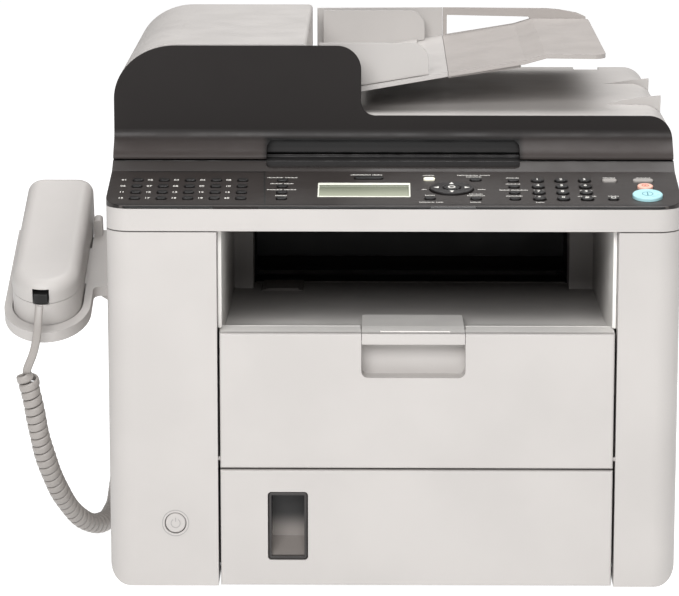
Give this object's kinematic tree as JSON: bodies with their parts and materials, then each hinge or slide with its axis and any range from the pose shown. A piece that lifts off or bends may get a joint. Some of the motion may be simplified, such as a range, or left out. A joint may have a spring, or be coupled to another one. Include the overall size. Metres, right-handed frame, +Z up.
{
  "type": "fax machine",
  "caption": "Desktop laser fax machine with a flatbed scanner, document feeder, key panel, paper cassette and corded side handset.",
  "frame": {"origin": "on the table under the middle of the overall width and depth, handset cord left out", "axes": "+Z up, +X to the machine's right seen from the front, front face towards -Y"},
  "size_m": [0.469, 0.371, 0.366],
  "materials": {
    "white_plastic": "fine-textured off-white moulding",
    "pale_grey_plastic": "fine-textured grey moulding",
    "charcoal_plastic": "fine-textured near-black moulding",
    "black_plastic": "plain black moulding",
    "gear_plastic": "natural acetal",
    "smoke_plastic": "translucent smoky moulding",
    "steel_sheet": "zinc-coated sheet",
    "steel_shaft": "ground steel",
    "rubber": "matt rubber",
    "drum_coating": "blue-green photoconductor on aluminium",
    "circuit_board": "green solder mask",
    "clear_plug": "clear modular plug",
    "cord_vinyl": "warm grey vinyl",
    "display": "grey-green display",
    "platen_glass": "flat clear glass",
    "dark_keys": "satin dark keys",
    "grey_keys": "satin grey keys",
    "red_key": "satin salmon key",
    "blue_key": "satin light blue key",
    "pad_white": "white backing sheet"
  },
  "bodies": {
    "chassis": {"base_pan": "steel_sheet", "left_cover": "white_plastic", "right_cover": "white_plastic", "rear_cover": "white_plastic", "feet": "rubber", "side_plates": "steel_sheet", "output_tray": "white_plastic", "toner_cartridge": "black_plastic", "laser_unit": "black_plastic", "main_motor": "steel_sheet", "main_board": "circuit_board", "rear_sockets": "black_plastic", "handset_jack": "black_plastic", "handset_cradle": "white_plastic", "wall_plug": "clear_plug", "cord_coil": "cord_vinyl"},
    "front_cover": {"front_cover": "white_plastic", "front_cover_handle": "white_plastic"},
    "cassette": {"cassette_front": "white_plastic", "window_bezel": "pale_grey_plastic", "cassette_tray": "pale_grey_plastic"},
    "paper_lift_plate": {"paper_lift_plate": "steel_sheet"},
    "cassette_guide_left": {"cassette_guide_left": "pale_grey_plastic"},
    "cassette_guide_right": {"cassette_guide_right": "pale_grey_plastic"},
    "toner_cover": {"toner_cover": "white_plastic"},
    "pickup_roller": {"pickup_roller": "rubber"},
    "drum": {"drum": "drum_coating", "drum_gear": "gear_plastic"},
    "motor_pinion": {"motor_pinion": "gear_plastic"},
    "fuser_roller": {"fuser_roller": "steel_shaft"},
    "pressure_roller": {"pressure_roller": "rubber"},
    "delivery_roller": {"delivery_roller": "rubber"},
    "power_button": {"power_button": "white_plastic"},
    "hook_switch": {"hook_switch": "white_plastic"},
    "handset": {"handset_back": "white_plastic", "handset_face": "white_plastic", "handset_plug": "clear_plug", "cord_lead": "cord_vinyl"},
    "scanner": {"scanner_base": "white_plastic", "control_panel": "charcoal_plastic", "lcd_window": "display", "platen_glass": "platen_glass"},
    "scan_carriage": {"scan_carriage": "black_plastic"},
    "one_touch_keys": {"one_touch_keys": "dark_keys"},
    "function_keys": {"function_keys": "dark_keys"},
    "dial_keys": {"dial_keys": "dark_keys"},
    "small_keys": {"small_keys": "grey_keys"},
    "stop_key": {"stop_key": "red_key"},
    "start_key": {"start_key": "blue_key"},
    "nav_ring": {"nav_ring": "grey_keys"},
    "ok_key": {"ok_key": "dark_keys"},
    "lid": {"lid_fascia": "charcoal_plastic", "lid_base": "white_plastic", "platen_pad": "pad_white", "feed_tray": "white_plastic", "tray_extension": "smoke_plastic"},
    "adf_cover": {"adf_cover": "white_plastic"},
    "adf_roller": {"adf_roller": "rubber"},
    "guide_front": {"guide_front": "white_plastic"},
    "guide_rear": {"guide_rear": "white_plastic"}
  },
  "joints": [
    {"name": "front_cover_hinge", "type": "hinge", "parent": "chassis", "child": "front_cover", "pos_m": [0.0555, -0.1815, 0.0926], "axis": [1, 0, 0], "range_deg": [0, 85]},
    {"name": "cassette_slide", "type": "slide", "parent": "chassis", "child": "cassette", "axis": [0, -1, 0], "range_m": [0, 0.2]},
    {"name": "paper_lift_hinge", "type": "hinge", "parent": "cassette", "child": "paper_lift_plate", "pos_m": [0.0565, -0.0615, 0.0255], "axis": [1, 0, 0], "range_deg": [0, 15]},
    {"name": "cassette_guide_left_slide", "type": "slide", "parent": "cassette", "child": "cassette_guide_left", "axis": [1, 0, 0], "range_m": [0, 0.05]},
    {"name": "cassette_guide_right_slide", "type": "slide", "parent": "cassette", "child": "cassette_guide_right", "axis": [-1, 0, 0], "range_m": [0, 0.05]},
    {"name": "toner_cover_hinge", "type": "hinge", "parent": "chassis", "child": "toner_cover", "pos_m": [0.054, 0.109, 0.161], "axis": [-1, 0, 0], "range_deg": [0, 60]},
    {"name": "pickup_roller_spin", "type": "hinge", "parent": "chassis", "child": "pickup_roller", "pos_m": [0.0545, 0.0395, 0.091], "axis": [1, 0, 0], "continuous": true},
    {"name": "drum_spin", "type": "hinge", "parent": "chassis", "child": "drum", "pos_m": [0.0545, 0.0645, 0.134], "axis": [1, 0, 0], "continuous": true},
    {"name": "fuser_roller_spin", "type": "hinge", "parent": "chassis", "child": "fuser_roller", "pos_m": [0.0545, 0.1325, 0.172], "axis": [1, 0, 0], "continuous": true},
    {"name": "pressure_roller_spin", "type": "hinge", "parent": "chassis", "child": "pressure_roller", "pos_m": [0.0545, 0.1533, 0.172], "axis": [1, 0, 0], "continuous": true},
    {"name": "delivery_roller_spin", "type": "hinge", "parent": "chassis", "child": "delivery_roller", "pos_m": [0.0545, 0.1235, 0.215], "axis": [1, 0, 0], "continuous": true},
    {"name": "motor_pinion_spin", "type": "hinge", "parent": "chassis", "child": "motor_pinion", "pos_m": [0.1995, 0.02675, 0.134], "axis": [1, 0, 0], "continuous": true},
    {"name": "power_button_press", "type": "slide", "parent": "chassis", "child": "power_button", "axis": [0, 1, 0], "range_m": [0, 0.0015], "stiffness_N_per_m": 400},
    {"name": "hook_switch_press", "type": "slide", "parent": "chassis", "child": "hook_switch", "axis": [0, 0.309, -0.9511], "range_m": [0, 0.003], "stiffness_N_per_m": 150},
    {"name": "handset_lift", "type": "slide", "parent": "chassis", "child": "handset", "axis": [0, -0.309, 0.9511], "range_m": [0, 0.08]},
    {"name": "scanner_hinge", "type": "hinge", "parent": "chassis", "child": "scanner", "pos_m": [0.054, 0.1748, 0.255], "axis": [-1, 0, 0], "range_deg": [0, 30]},
    {"name": "scan_carriage_slide", "type": "slide", "parent": "scanner", "child": "scan_carriage", "axis": [1, 0, 0], "range_m": [0, 0.29]},
    {"name": "one_touch_keys_press", "type": "slide", "parent": "scanner", "child": "one_touch_keys", "axis": [0, 0.172, -0.9851], "range_m": [0, 0.0008], "stiffness_N_per_m": 400},
    {"name": "function_keys_press", "type": "slide", "parent": "scanner", "child": "function_keys", "axis": [0, 0.172, -0.9851], "range_m": [0, 0.0008], "stiffness_N_per_m": 400},
    {"name": "dial_keys_press", "type": "slide", "parent": "scanner", "child": "dial_keys", "axis": [0, 0.172, -0.9851], "range_m": [0, 0.0008], "stiffness_N_per_m": 400},
    {"name": "small_keys_press", "type": "slide", "parent": "scanner", "child": "small_keys", "axis": [0, 0.172, -0.9851], "range_m": [0, 0.0008], "stiffness_N_per_m": 400},
    {"name": "stop_key_press", "type": "slide", "parent": "scanner", "child": "stop_key", "axis": [0, 0.172, -0.9851], "range_m": [0, 0.0008], "stiffness_N_per_m": 400},
    {"name": "start_key_press", "type": "slide", "parent": "scanner", "child": "start_key", "axis": [0, 0.172, -0.9851], "range_m": [0, 0.0008], "stiffness_N_per_m": 400},
    {"name": "nav_ring_press", "type": "slide", "parent": "scanner", "child": "nav_ring", "axis": [0, 0.172, -0.9851], "range_m": [0, 0.0008], "stiffness_N_per_m": 400},
    {"name": "ok_key_press", "type": "slide", "parent": "scanner", "child": "ok_key", "axis": [0, 0.172, -0.9851], "range_m": [0, 0.0008], "stiffness_N_per_m": 400},
    {"name": "lid_hinge", "type": "hinge", "parent": "scanner", "child": "lid", "pos_m": [0.0395, 0.1675, 0.294], "axis": [-1, 0, 0], "range_deg": [0, 70]},
    {"name": "adf_cover_hinge", "type": "hinge", "parent": "lid", "child": "adf_cover", "pos_m": [-0.1475, 0.0305, 0.3275], "axis": [0, -1, 0], "range_deg": [0, 75]},
    {"name": "adf_roller_spin", "type": "hinge", "parent": "lid", "child": "adf_roller", "pos_m": [-0.0525, 0.0315, 0.333], "axis": [0, 1, 0], "continuous": true},
    {"name": "guide_front_slide", "type": "slide", "parent": "lid", "child": "guide_front", "axis": [0, 1, 0], "range_m": [0, 0.05]},
    {"name": "guide_rear_slide", "type": "slide", "parent": "lid", "child": "guide_rear", "axis": [0, -1, 0], "range_m": [0, 0.05]}
  ],
  "couplings": [
    {"joint": "cassette_guide_right_slide", "follows": "cassette_guide_left_slide", "ratio": 1},
    {"joint": "guide_rear_slide", "follows": "guide_front_slide", "ratio": 1},
    {"joint": "motor_pinion_spin", "follows": "drum_spin", "ratio": -2.5714}
  ]
}
